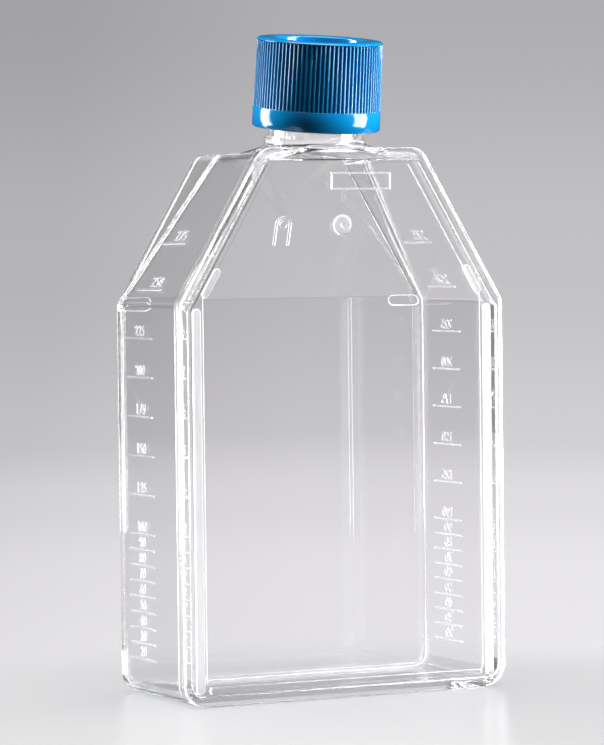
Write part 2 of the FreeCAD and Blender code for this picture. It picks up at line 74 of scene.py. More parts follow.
# ---- shader helpers --------------------------------------------------------------------------
class Shader:
    """A node tree under construction, with short calls to add and join nodes."""

    def __init__(self, tree: bpy.types.NodeTree) -> None:
        """Start on an empty tree.

        Args:
            tree: a material's or a group's node tree; what it holds is cleared.
        """
        self.tree = tree
        tree.nodes.clear()

    def add(self, kind: str, **settings: object) -> bpy.types.Node:
        """Add a node and set its properties or, for names of inputs, their values.

        Args:
            kind: the node's class name without its ShaderNode prefix.
            settings: properties of the node, or inputs with underscores for spaces.

        Returns:
            The new node.
        """
        node = self.tree.nodes.new(kind if kind.startswith("NodeGroup") else "ShaderNode" + kind)
        for name, value in settings.items():
            if hasattr(node, name):
                setattr(node, name, value)
            else:
                node.inputs[name.replace("_", " ")].default_value = value
        return node

    def join(self, output: Socket, target: Socket) -> None:
        """Join an output to an input."""
        self.tree.links.new(output, target)

    def maths(self, operation: str, first: object, second: object = 0.0) -> Socket:
        """Add a Math node on two sockets or numbers.

        Args:
            operation: the Math node's operation.
            first: a socket or a number.
            second: a socket or a number.

        Returns:
            The node's output socket.
        """
        node = self.add("Math", operation=operation)
        for slot, value in zip(node.inputs, (first, second)):
            if isinstance(value, Socket):
                self.join(value, slot)
            else:
                slot.default_value = value
        return node.outputs[0]

    def blend(self, mask: Socket, low: Colour, high: Colour) -> Socket:
        """Mix two colours by a mask.

        Args:
            mask: what is 0 where the low colour shows and 1 where the high one does.
            low: colour at mask 0.
            high: colour at mask 1.

        Returns:
            The mixed colour's socket.
        """
        ramp = self.add("ValToRGB")
        ramp.color_ramp.elements[0].color = (*low, 1.0)
        ramp.color_ramp.elements[1].color = (*high, 1.0)
        self.join(mask, ramp.inputs["Fac"])
        return ramp.outputs["Color"]

    def remap(self, value: Socket, reach: Pair, ends: Pair = (0.0, 1.0)) -> bpy.types.Node:
        """Map a value's reach to another one, held at both ends.

        Args:
            value: the value's socket.
            reach: the values at which the mapping starts and stops.
            ends: what comes out there.

        Returns:
            The Map Range node.
        """
        node = self.add(
            "MapRange", From_Min=reach[0], From_Max=reach[1], To_Min=ends[0], To_Max=ends[1]
        )
        self.join(value, node.inputs["Value"])
        return node

    def length(self, first: Socket, second: Socket) -> Socket:
        """Length of a level vector from its two parts."""
        squares = [self.maths("POWER", part, 2.0) for part in (first, second)]
        return self.maths("SQRT", self.maths("ADD", *squares))

    def mix(self, *parts: Socket) -> Socket:
        """Mix two shaders.

        Args:
            parts: the mask, the shader at mask 0 and the shader at mask 1.

        Returns:
            The mixed shader's socket.
        """
        node = self.add("MixShader")
        for slot, part in zip(node.inputs, parts):
            self.join(part, slot)
        return node.outputs["Shader"]

    def finish(self, surface: Socket) -> None:
        """Join a shader to a new material output."""
        self.join(surface, self.add("OutputMaterial").inputs["Surface"])


def new_group(name: str, inputs: dict[str, float], outputs: list[str]) -> tuple[Shader, dict, dict]:
    """Start a node group with number inputs and outputs.

    Args:
        name: the group's name.
        inputs: each input's name and default.
        outputs: the names of the outputs.

    Returns:
        The shader helper, the input sockets inside the group and the output sockets inside it.
    """
    tree = bpy.data.node_groups.new(name, "ShaderNodeTree")
    for key, value in inputs.items():
        socket = tree.interface.new_socket(key, in_out="INPUT", socket_type="NodeSocketFloat")
        socket.default_value = value
    for key in outputs:
        tree.interface.new_socket(key, in_out="OUTPUT", socket_type="NodeSocketFloat")
    shader = Shader(tree)
    start = shader.add("NodeGroupInput")
    end = shader.add("NodeGroupOutput")
    return (
        shader,
        {key: start.outputs[key] for key in inputs},
        {key: end.inputs[key] for key in outputs},
    )


def mould_skin_group() -> bpy.types.NodeTree:
    """Build the skin of a moulded part: slow flow waves and a fine grain.

    Returns:
        A group with Wave Size, Grain Size and Grain Share in, Height and Patches out.
    """
    sizes = {"Wave Size": 60.0, "Grain Size": 1500.0, "Grain Share": 0.3}
    shader, given, out = new_group("mould_skin", sizes, ["Height", "Patches"])
    place = shader.add("TexCoord").outputs["Object"]
    waves = shader.add("TexNoise", Detail=2.0, Roughness=0.4)
    grain = shader.add("TexNoise", Detail=3.0, Roughness=0.6)
    for noise, size in ((waves, "Wave Size"), (grain, "Grain Size")):
        shader.join(place, noise.inputs["Vector"])
        shader.join(given[size], noise.inputs["Scale"])
    fine = shader.maths("MULTIPLY", grain.outputs["Fac"], given["Grain Share"])
    shader.join(shader.maths("ADD", waves.outputs["Fac"], fine), out["Height"])
    shader.join(waves.outputs["Fac"], out["Patches"])
    return shader.tree


def handling_group() -> bpy.types.NodeTree:
    """Build the marks of handling: faint rubbed patches crossed by hair scratches.

    Returns:
        A group with Amount in and a Marks mask out.
    """
    shader, given, out = new_group("handling_marks", {"Amount": 0.5}, ["Marks"])
    place = shader.add("TexCoord").outputs["Object"]
    rubbed = shader.add("TexNoise", Scale=35.0, Detail=4.0, Roughness=0.6)
    stretch = shader.add("Mapping", Scale=(1.0, 1.0, HAIR_STRETCH))
    hairs = shader.add("TexNoise", Scale=900.0, Detail=2.0)
    shader.join(place, rubbed.inputs["Vector"])
    shader.join(place, stretch.inputs["Vector"])
    shader.join(stretch.outputs["Vector"], hairs.inputs["Vector"])
    patches = shader.remap(rubbed.outputs["Fac"], RUBBED_REACH).outputs["Result"]
    lines = shader.remap(hairs.outputs["Fac"], HAIR_REACH).outputs["Result"]
    both = shader.maths("MULTIPLY", patches, lines)
    soft = shader.maths("MULTIPLY", patches, RUBBED_SHARE)
    total = shader.maths("ADD", both, soft)
    shader.join(shader.maths("MULTIPLY", total, given["Amount"]), out["Marks"])
    return shader.tree


@dataclass(frozen=True)
class Groups:
    """The node groups that the finishes share."""

    mould_skin: bpy.types.NodeTree
    handling: bpy.types.NodeTree


# ---- finishes --------------------------------------------------------------------------------
def start_material(name: str) -> tuple[bpy.types.Material, Shader, bpy.types.Node]:
    """Make a material whose tree holds one Principled node.

    Args:
        name: the material's name.

    Returns:
        The material, its shader helper and its Principled node; the output isn't joined yet.
    """
    material = bpy.data.materials.new(name)
    material.use_nodes = True
    shader = Shader(material.node_tree)
    surface = shader.add("BsdfPrincipled")
    return material, shader, surface


@dataclass(frozen=True)
class Skin:
    """What the mould and handling leave on a surface: its roughness, rubbed marks and relief.

    The depth is the relief's height in metres. The waves and the grain are scales of noise.
    """

    roughness: float
    wear: float
    depth: float
    waves: float = 45.0
    grain: float = 1200.0
    grain_share: float = 1.0

    def lay_on(self, surface: bpy.types.Node, shader: Shader, groups: Groups) -> Socket:
        """Give a Principled node the relief as a bump, and the worn roughness.

        Args:
            surface: the Principled node.
            shader: the material's helper.
            groups: the shared groups.

        Returns:
            The Patches socket, for a slow drift of colour.
        """
        relief = shader.add(
            "Group", node_tree=groups.mould_skin,
            Wave_Size=self.waves, Grain_Size=self.grain, Grain_Share=self.grain_share,
        )
        bump = shader.add("Bump", Distance=self.depth)
        shader.join(relief.outputs["Height"], bump.inputs["Height"])
        shader.join(bump.outputs["Normal"], surface.inputs["Normal"])
        marks = shader.add("Group", node_tree=groups.handling, Amount=self.wear)
        rough = shader.maths("ADD", marks.outputs["Marks"], self.roughness)
        shader.join(rough, surface.inputs["Roughness"])
        return relief.outputs["Patches"]


@dataclass(frozen=True)
class ClearPlastic:
    """Clear moulded polystyrene, which lets lamps through to what stands behind it."""

    name: str
    skin: Skin
    tint: Colour = (0.999, 0.998, 1.0)
    shade: Colour = (0.93, 0.94, 0.95)
    ior: float = 1.59

    def material(self, groups: Groups) -> bpy.types.Material:
        """Build the material.

        Args:
            groups: the shared groups.

        Returns:
            The finished material.
        """
        material, shader, surface = start_material(self.name)
        surface.inputs["Base Color"].default_value = (*self.tint, 1.0)
        surface.inputs["IOR"].default_value = self.ior
        surface.inputs["Transmission Weight"].default_value = 1.0
        self.skin.lay_on(surface, shader, groups)
        lamp_path = shader.add("LightPath").outputs["Is Shadow Ray"]
        clear = shader.add("BsdfTransparent", Color=(*self.shade, 1.0))
        shader.finish(shader.mix(lamp_path, surface.outputs["BSDF"], clear.outputs["BSDF"]))
        return material


@dataclass(frozen=True)
class SolidPlastic:
    """Opaque moulded plastic with a slight colour drift, grain and rubbed patches."""

    name: str
    base: Colour
    pale: Colour
    skin: Skin

    def material(self, groups: Groups) -> bpy.types.Material:
        """Build the material.

        Args:
            groups: the shared groups.

        Returns:
            The finished material.
        """
        material, shader, surface = start_material(self.name)
        patches = self.skin.lay_on(surface, shader, groups)
        shader.join(shader.blend(patches, self.base, self.pale), surface.inputs["Base Color"])
        shader.finish(surface.outputs["BSDF"])
        return material


class Dress(Enum):
    """The finishes on the vessel, by their material index."""

    CLEAR = 0
    FROSTED = 1
    RIM = 2
    MARKS = 3
    LINES = 4


CLEAR_PLASTICS: dict[Dress, ClearPlastic] = {
    Dress.CLEAR: ClearPlastic(
        "clear_polystyrene_polished",
        Skin(roughness=0.0, wear=0.02, depth=0.0008 * MM, grain_share=0.01),
    ),
    Dress.FROSTED: ClearPlastic(
        "clear_polystyrene_frosted", Skin(roughness=0.42, wear=0.1, depth=0.01 * MM)
    ),
    Dress.RIM: ClearPlastic(
        "clear_polystyrene_satin",
        Skin(roughness=0.14, wear=0.05, depth=0.0005 * MM, grain_share=0.0),
    ),
    Dress.MARKS: ClearPlastic(
        "clear_polystyrene_matted", Skin(roughness=0.31, wear=0.1, depth=0.005 * MM)
    ),
    Dress.LINES: ClearPlastic(
        "clear_polystyrene_fine_matt", Skin(roughness=0.15, wear=0.1, depth=0.003 * MM)
    ),
}
CAP_PLASTIC = SolidPlastic(
    "blue_polypropylene_moulded", base=(0.0, 0.2, 0.48), pale=(0.001, 0.22, 0.52),
    skin=Skin(
        roughness=0.11, wear=0.12, depth=0.01 * MM, waves=40.0, grain=2500.0, grain_share=0.5
    ),
)
LINER_FOAM = SolidPlastic(
    "white_liner_foam", base=(0.78, 0.78, 0.75), pale=(0.85, 0.85, 0.83),
    skin=Skin(roughness=0.6, wear=0.12, depth=0.03 * MM, waves=40.0, grain=2500.0),
)
MEMBRANE_FIBRE = SolidPlastic(
    "white_membrane_fibre", base=(0.82, 0.83, 0.83), pale=(0.9, 0.9, 0.9),
    skin=Skin(roughness=0.75, wear=0.12, depth=0.05 * MM, waves=700.0, grain=6000.0),
)


@dataclass(frozen=True)
class Finishes:
    """Every finish on the flask, as built materials."""

    vessel: dict[Dress, bpy.types.Material]
    cap: bpy.types.Material
    liner: bpy.types.Material
    membrane: bpy.types.Material


def build_finishes() -> Finishes:
    """Build the shared groups and all finishes.

    Returns:
        The finishes.
    """
    groups = Groups(mould_skin_group(), handling_group())
    return Finishes(
        vessel={dress: plastic.material(groups) for dress, plastic in CLEAR_PLASTICS.items()},
        cap=CAP_PLASTIC.material(groups),
        liner=LINER_FOAM.material(groups),
        membrane=MEMBRANE_FIBRE.material(groups),
    )


# ---- mesh helpers ----------------------------------------------------------------------------
def merged_copy(node: str) -> bmesh.types.BMesh:
    """Copy a CAD node's mesh with its loose triangles welded together.

    Args:
        node: the CAD node's name.

    Returns:
        A new bmesh.
    """
    shape = bmesh.new()
    shape.from_mesh(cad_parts[node].data)
    bmesh.ops.remove_doubles(shape, verts=shape.verts, dist=MERGE_DISTANCE)
    return shape


def mesh_object(name: str, shape: bmesh.types.BMesh) -> bpy.types.Object:
    """Turn a bmesh into an object at the origin.

    Args:
        name: the object's name.
        shape: the bmesh, which is freed.

    Returns:
        The linked object.
    """
    mesh = bpy.data.meshes.new(name)
    shape.to_mesh(mesh)
    shape.free()
    piece = bpy.data.objects.new(name, mesh)
    bpy.context.scene.collection.objects.link(piece)
    return piece


def apply_modifiers(piece: bpy.types.Object) -> None:
    """Bake an object's modifiers into its mesh."""
    depsgraph = bpy.context.evaluated_depsgraph_get()
    result = bpy.data.meshes.new_from_object(piece.evaluated_get(depsgraph))
    piece.modifiers.clear()
    piece.data = result


def dissolve_flats(piece: bpy.types.Object, degrees: float) -> None:
    """Join the triangles of each flat face, so that its shading has no fans.

    Args:
        piece: the object.
        degrees: faces that meet at less than this are joined.
    """
    shape = bmesh.new()
    shape.from_mesh(piece.data)
    bmesh.ops.remove_doubles(shape, verts=shape.verts, dist=MERGE_DISTANCE)
    bmesh.ops.dissolve_limit(
        shape, angle_limit=math.radians(degrees), use_dissolve_boundaries=False,
        verts=shape.verts, edges=shape.edges,
    )
    shape.to_mesh(piece.data)
    shape.free()


def shade_by_angle(piece: bpy.types.Object, degrees: float) -> None:
    """Shade smooth with sharp edges past an angle, and flat faces kept flat.

    Args:
        piece: the object.
        degrees: faces that meet at more than this keep a sharp edge.
    """
    piece.data.shade_smooth()
    piece.data.set_sharp_from_angle(angle=math.radians(degrees))
    modifier = piece.modifiers.new("flat faces", "WEIGHTED_NORMAL")
    modifier.keep_sharp = True
    modifier.weight = 100
    apply_modifiers(piece)


@dataclass(frozen=True)
class FigureStyle:
    """The shape of raised figures.

    The height and thickness are metres. The stroke offset and the merge distance are in the
    letters' own units.
    """

    height: float
    thickness: float
    width_share: float = 1.0
    stroke_offset: float = 0.0
    curve_steps: int = 3
    merge_distance: float = 0.0001

    def raise_text(self, words: str) -> bmesh.types.BMesh:
        """Make figures in the XY plane, centred on X, with feet at Y = 0 and backs at Z = 0.

        Args:
            words: the figures.

        Returns:
            A new bmesh.
        """
        half = 0.5
        curve = bpy.data.curves.new("figures", "FONT")
        curve.body = words
        curve.align_x = "CENTER"
        curve.resolution_u = self.curve_steps
        curve.extrude = half
        curve.offset = self.stroke_offset
        carrier = bpy.data.objects.new("figures", curve)
        bpy.context.scene.collection.objects.link(carrier)
        bpy.context.view_layer.update()
        depsgraph = bpy.context.evaluated_depsgraph_get()
        mesh = bpy.data.meshes.new_from_object(carrier.evaluated_get(depsgraph))
        bpy.data.objects.remove(carrier)
        shape = bmesh.new()
        shape.from_mesh(mesh)
        bpy.data.meshes.remove(mesh)
        bmesh.ops.remove_doubles(shape, verts=shape.verts, dist=self.merge_distance)
        low = min(vertex.co.y for vertex in shape.verts)
        high = max(vertex.co.y for vertex in shape.verts)
        size = self.height / (high - low)
        bmesh.ops.translate(shape, verts=shape.verts, vec=(0, -low, half))
        stretch = (size * self.width_share, size, self.thickness)
        bmesh.ops.scale(shape, verts=shape.verts, vec=stretch)
        return shape


def pour_into(target: bmesh.types.BMesh, source: bmesh.types.BMesh, place: Matrix) -> None:
    """Add a placed copy of one bmesh to another and free the first.

    Args:
        target: the bmesh that grows.
        source: the bmesh that is added and freed.
        place: where it goes.
    """
    bmesh.ops.transform(source, matrix=place, verts=source.verts)
    mesh = bpy.data.meshes.new("poured")
    source.to_mesh(mesh)
    source.free()
    target.from_mesh(mesh)
    bpy.data.meshes.remove(mesh)


# ---- the vessel ------------------------------------------------------------------------------
class Side(Enum):
    """The two side walls, by the sign of X."""

    LEFT = -1
    RIGHT = 1


@dataclass(frozen=True)
class Walls:
    """The side walls, and the shoulders that lean in above them."""

    half_width: float = 41.0 * MM
    shoulder_height: float = 92.2 * MM
    shoulder_half: float = 40.837 * MM
    shoulder_slope: float = 0.5938

    def climb(self, height: float) -> float:
        """How far a height is above the start of the shoulders, and 0 below it."""
        return max(0.0, height - self.shoulder_height)

    def half_at(self, climb: float) -> float:
        """Half the width across the shoulders at a climb."""
        return self.shoulder_half - self.shoulder_slope * climb


@dataclass(frozen=True)
class CavityDigit:
    """A mould cavity's number.

    Its ahead is -1 on a face towards the front and 1 on one towards the back.
    """

    words: str
    ahead: int
    spot_x: float
    spot_z: float


@dataclass
class Vessel:
    """The welded clear shell: body and front plate, with their raised marks frosted or matted."""

    finishes: Finishes
    figures: bmesh.types.BMesh
    walls: Walls = Walls()
    front_height: float = 127.9 * MM
    flange_half: float = 42.0 * MM
    flange_depth: float = 3.9 * MM
    figures_foot: float = 6.0 * MM
    shoulder_marks: tuple[Pair, ...] = ((2.6 * MM, 7.2 * MM), (13.3 * MM, 17.9 * MM))
    shoulder_marks_y: float = 3.4 * MM
    shoulder_marks_half: float = 8.5 * MM
    bar_inset: Pair = (2.6 * MM, 6.8 * MM)
    bar_crown_depth: float = 0.5 * MM
    bar_base: float = 3.0 * MM
    bar_top: float = 106.0 * MM
    arch_drop: float = 19.0 * MM
    arch_reach: float = 2.3 * MM
    back_y: float = 19.26 * MM
    back_bar_inner: float = 31.0 * MM
    plate_digit: CavityDigit = CavityDigit("8", -1, 0.5 * MM, 115.3 * MM)
    body_digit: CavityDigit = CavityDigit("2", 1, 0.0, 115.8 * MM)
    digit_height: float = 2.0 * MM
    digit_rise: float = 0.12 * MM
    digit_root: float = 0.1 * MM
    ray_start: float = 0.1
    frame_left: float = -2.9 * MM
    frame_length: float = 15.6 * MM
    frame_height: float = 4.0 * MM
    frame_drop: float = 5.8 * MM
    panel_depth: float = 0.88 * MM
    gate_drop: float = 18.0 * MM
    gate_radius: float = 2.5 * MM
    rim_margin: float = 0.8 * MM
    rim_slant: float = 0.5
    crown_slant: float = 0.8
    line_length: float = 3.0 * MM
    frost_margin: float = 0.03 * MM
    flat_degrees: float = 0.2
    sharp_degrees: float = 28.0

    def build(self) -> bpy.types.Object:
        """Join the two mouldings as the weld does and dress the shell.

        Returns:
            The shell, which stands for both CAD nodes.
        """
        shell = mesh_object("vessel_shell", merged_copy("flask_body"))
        plate = mesh_object("plate", merged_copy("front_plate"))
        bpy.context.view_layer.update()
        self.add_digit(self.plate_digit, plate)
        self.add_digit(self.body_digit, shell)
        for other in (plate, mesh_object("figures", self.figures)):
            weld = shell.modifiers.new("weld", "BOOLEAN")
            weld.operation = "UNION"
            weld.solver = "EXACT"
            weld.use_self = True
            weld.object = other
            apply_modifiers(shell)
            bpy.data.objects.remove(other)
        dissolve_flats(shell, self.flat_degrees)
        shade_by_angle(shell, self.sharp_degrees)
        shell.data.materials.clear()
        for dress in Dress:
            shell.data.materials.append(self.finishes.vessel[dress])
        self.dress_faces(shell.data)
        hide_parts("flask_body", "front_plate")
        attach(shell, "flask")
        log.info("vessel_shell: %d faces", len(shell.data.polygons))
        return shell

    def add_digit(self, digit: CavityDigit, moulding: bpy.types.Object) -> None:
        """Raise a cavity number on a moulding's outer face.

        Args:
            digit: the number and its place.
            moulding: the front plate or the body.
        """
        start = Vector((digit.spot_x, digit.ahead * self.ray_start, digit.spot_z))
        _, spot, out, _ = moulding.ray_cast(start, Vector((0, -digit.ahead, 0)))
        across = Vector((-digit.ahead, 0, 0))
        up = out.cross(across)
        turn = Matrix((across, up, out)).transposed().to_4x4()
        style = FigureStyle(self.digit_height, self.digit_rise + self.digit_root)
        text = style.raise_text(digit.words)
        pour_into(self.figures, text, Matrix.Translation(spot - out * self.digit_root) @ turn)

    def dress_faces(self, mesh: bpy.types.Mesh) -> None:
        """Give each face of the shell its finish.

        Args:
            mesh: the shell's mesh.
        """
        flange_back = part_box("flask_body")[0][1] + self.flange_depth
        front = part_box("front_plate")[0][1]
        for face in mesh.polygons:
            along = [mesh.vertices[index].co.y for index in face.vertices]
            is_long = max(along) - min(along) > self.line_length
            face.material_index = self.dress(face, is_long, front, flange_back).value

    def dress(
        self, face: bpy.types.MeshPolygon, is_long: bool, front: float, flange_back: float
    ) -> Dress:
        """Choose a face's finish.

        Args:
            face: the face.
            is_long: whether the face reaches as far along the wall as a filling line.
            front: Y of the front plate's front.
            flange_back: Y of the flange's back.

        Returns:
            Frosted on the label frame and on the long bars below the shoulders, fine matt on the
            filling lines, matted on the other marks, satin on the rim, and clear elsewhere.
        """
        centre, out = face.center, face.normal
        on_bar = self.on_bar(centre, out, front)
        if self.in_frame(centre, front) or (on_bar and centre.z < self.walls.shoulder_height):
            return Dress.FROSTED
        if self.on_wall_mark(centre, flange_back):
            if is_long and abs(out.x) > self.crown_slant:
                return Dress.LINES
            if abs(out.x) < self.crown_slant:
                return Dress.MARKS
        if on_bar or self.on_gate(centre, front) or self.on_back_mark(centre, out):
            return Dress.MARKS
        if centre.y < flange_back and abs(out.y) < self.rim_slant and self.on_rim(centre):
            return Dress.RIM
        return Dress.CLEAR

    def on_wall_mark(self, spot: Vector, flange_back: float) -> bool:
        """Whether a point stands proud of a wall or shoulder where the filling marks are.

        Args:
            spot: the point.
            flange_back: Y of the flange's back.

        Returns:
            True on a filling line or a figure.
        """
        climb = self.walls.climb(spot.z)
        if climb == 0.0:
            half = self.walls.half_width
            marked = spot.z > self.figures_foot
        else:
            half = self.walls.half_at(climb)
            marked = abs(spot.y - self.shoulder_marks_y) < self.shoulder_marks_half
            marked = marked and any(low < climb < high for low, high in self.shoulder_marks)
        return marked and spot.y > flange_back and abs(spot.x) > half + self.frost_margin

    def in_frame(self, spot: Vector, front: float) -> bool:
        """Whether a point lies on the raised label frame.

        Args:
            spot: the point.
            front: Y of the front plate's front.

        Returns:
            True on the frame.
        """
        across = self.frame_left <= spot.x <= self.frame_left + self.frame_length
        down = self.frame_drop <= self.front_height - spot.z <= self.frame_drop + self.frame_height
        return across and down and spot.y < front + self.panel_depth

    def on_gate(self, spot: Vector, front: float) -> bool:
        """Whether a point lies on the raised gate mark of the front plate.

        Args:
            spot: the point.
            front: Y of the front plate's front.

        Returns:
            True on the gate mark.
        """
        away = math.hypot(spot.x, spot.z - (self.front_height - self.gate_drop))
        return away < self.gate_radius and spot.y < front + self.panel_depth

    def inset(self, spot: Vector) -> float:
        """How far inside the flange's outline a point lies, across the flask."""
        lean = self.walls.shoulder_slope * self.walls.climb(spot.z)
        return self.flange_half - lean - abs(spot.x)

    def on_bar(self, spot: Vector, out: Vector, front: float) -> bool:
        """Whether a point lies on one of the long raised bars of the front plate.

        Args:
            spot: the point.
            out: the face's normal.
            front: Y of the front plate's front.

        Returns:
            True on a bar's crown or side.
        """
        crown = spot.y < front + self.bar_crown_depth
        side = spot.y < front + self.panel_depth and abs(out.y) < self.crown_slant
        along = self.bar_base < spot.z < self.bar_top
        across = self.bar_inset[0] < self.inset(spot) < self.bar_inset[1]
        return (crown or side) and along and across

    def on_back_mark(self, spot: Vector, out: Vector) -> bool:
        """Whether a point lies on a side of the back's stacking bars or of its gate arch.

        Args:
            spot: the point.
            out: the face's normal.

        Returns:
            True on such a side.
        """
        arch = self.front_height - self.arch_drop
        near_arch = abs(spot.x) < self.arch_reach and abs(spot.z - arch) < self.arch_reach * 2
        near_bar = spot.y > self.back_y and abs(spot.x) > self.back_bar_inner
        return spot.y > 0 and abs(out.y) < self.crown_slant and (near_arch or near_bar)

    def on_rim(self, spot: Vector) -> bool:
        """Whether a point lies on the flange's outer edge."""
        on_side = self.inset(spot) < self.rim_margin
        return on_side or spot.z < self.rim_margin or spot.z > self.front_height - self.rim_margin


@dataclass
class FillingFigures:
    """Raised figures beside the filling lines on both side walls and both shoulders."""

    walls: Walls = Walls()
    base_wall: float = 1.7 * MM
    section: float = 2733.4e-6
    wall_middle_y: float = 5.75 * MM
    wall_height: float = 2.4 * MM
    wall_gap: float = 0.6 * MM
    shoulder_middle_y: float = 2.1 * MM
    shoulder_text_height: float = 2.7 * MM
    shoulder_gap: float = 0.7 * MM
    width_share: float = 1.06
    stroke_offset: float = -0.003
    rise: float = 0.14 * MM
    root: float = 0.1 * MM
    amounts: tuple[int, ...] = (20, 30, 40, 50, 60, 70, 80, 90, 100, 125, 150, 175, 200, 225)
    shoulder_rises: tuple[tuple[int, float], ...] = ((250, 3.1 * MM), (275, 13.8 * MM))

    def place(self, side: Side, spot: Vector, lean: float) -> Matrix:
        """Place of figures on a wall.

        Args:
            side: which wall.
            spot: the middle of the figures' feet; its X is mirrored on the left wall.
            lean: how much the wall leans in for each unit that it rises.

        Returns:
            The matrix from the text's plane to the wall.
        """
        across = Vector((0, side.value, 0))
        up = Vector((-side.value * lean, 0, 1)).normalized()
        out = across.cross(up)
        turn = Matrix((across, up, out)).transposed().to_4x4()
        foot = Vector((side.value * spot.x, spot.y, spot.z))
        return Matrix.Translation(foot - out * self.root) @ turn

    def shape(self) -> bmesh.types.BMesh:
        """Raise every figure, rooted a little inside its wall.

        Returns:
            All the figures in one bmesh.
        """
        shape = bmesh.new()
        thickness = self.rise + self.root
        wall_style = FigureStyle(self.wall_height, thickness, self.width_share, self.stroke_offset)
        shoulder_style = FigureStyle(
            self.shoulder_text_height, thickness, self.width_share, self.stroke_offset
        )
        for side in Side:
            for amount in self.amounts:
                line = self.base_wall + amount * MILLILITRE / self.section
                spot = Vector((self.walls.half_width, self.wall_middle_y, line + self.wall_gap))
                pour_into(shape, wall_style.raise_text(str(amount)), self.place(side, spot, 0.0))
            for amount, rise in self.shoulder_rises:
                climb = rise + self.shoulder_gap
                half = self.walls.half_at(climb)
                spot = Vector((half, self.shoulder_middle_y, self.walls.shoulder_height + climb))
                text = shoulder_style.raise_text(str(amount))
                pour_into(shape, text, self.place(side, spot, self.walls.shoulder_slope))
        log.info("filling_figures: %d faces", len(shape.faces))
        return shape


# ---- the cap ---------------------------------------------------------------------------------
@dataclass
class Closure:
    """The screw cap with its liner ring and vent membrane."""

    finishes: Finishes
    sharp_degrees: float = 30.0
    rib_reach: float = 12.6 * MM
    rib_length: float = 9.0 * MM
    axis_y: float = -6.6 * MM

    def build(self) -> list[bpy.types.Object]:
        """Dress the cap, liner and membrane.

        Returns:
            The three pieces.
        """
        cap = mesh_object("cap_shell", merged_copy("screw_cap"))
        pieces = [cap]
        cap.data.shade_smooth()
        cap.data.set_sharp_from_angle(angle=math.radians(self.sharp_degrees))
        self.round_ribs(cap.data)
        cap.data.materials.clear()
        cap.data.materials.append(self.finishes.cap)
        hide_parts("screw_cap")
        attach(cap, "cap")
        log.info("cap_shell: %d faces", len(cap.data.polygons))
        inner = {"seal_ring": self.finishes.liner, "vent_membrane": self.finishes.membrane}
        for node, material in inner.items():
            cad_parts[node].material_slots[0].material = material
            pieces.append(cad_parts[node])
            log.info("%s dressed", node)
        return pieces

    def round_ribs(self, mesh: bpy.types.Mesh) -> None:
        """Let the ribs shade as rounds along their length, with crisp ends.

        Args:
            mesh: the cap's mesh.
        """
        shape = bmesh.new()
        shape.from_mesh(mesh)
        ribs = set()
        for edge in shape.edges:
            reach = min(math.hypot(vertex.co.x, vertex.co.y - self.axis_y) for vertex in edge.verts)
            if edge.calc_length() > self.rib_length and reach > self.rib_reach:
                ribs.update(edge.link_faces)
        for edge in shape.edges:
            inside = sum(face in ribs for face in edge.link_faces)
            if inside == 2:
                edge.smooth = True
            elif inside == 1:
                edge.smooth = False
        shape.to_mesh(mesh)
        shape.free()
        log.info("ribs: %d faces", len(ribs))


# ---- the studio ------------------------------------------------------------------------------
@dataclass(frozen=True)
class Softbox:
    """One area light, aimed at the flask.

    Its turn is counted in degrees from the camera's azimuth.
    """

    name: str
    turn: float
    height: float
    distance: float
    width: float
    tall: float
    power: float
    aim_height: float = 0.1
    colour: Colour = (1.0, 1.0, 1.0)

    def build(self, camera_azimuth: float, receivers: list[bpy.types.Object]) -> None:
        """Hang the light and turn it to the flask.

        Args:
            camera_azimuth: in degrees.
            receivers: what it lights.
        """
        light = bpy.data.lights.new(self.name, "AREA")
        light.shape = "RECTANGLE"
        light.size = self.width
        light.size_y = self.tall
        light.energy = self.power
        light.color = self.colour
        turn = math.radians(camera_azimuth + self.turn)
        across = math.sin(turn) * self.distance
        spot = Vector((across, -math.cos(turn) * self.distance, self.height))
        holder = bpy.data.objects.new(self.name, light)
        holder.location = spot
        aim = Vector((0, 0, self.aim_height)) - spot
        holder.rotation_euler = aim.to_track_quat("-Z", "Y").to_euler()
        holder.visible_camera = False
        bpy.context.scene.collection.objects.link(holder)
        lit = bpy.data.collections.new(f"{self.name}_receivers")
        for piece in receivers:
            lit.objects.link(piece)
        holder.light_linking.receiver_collection = lit


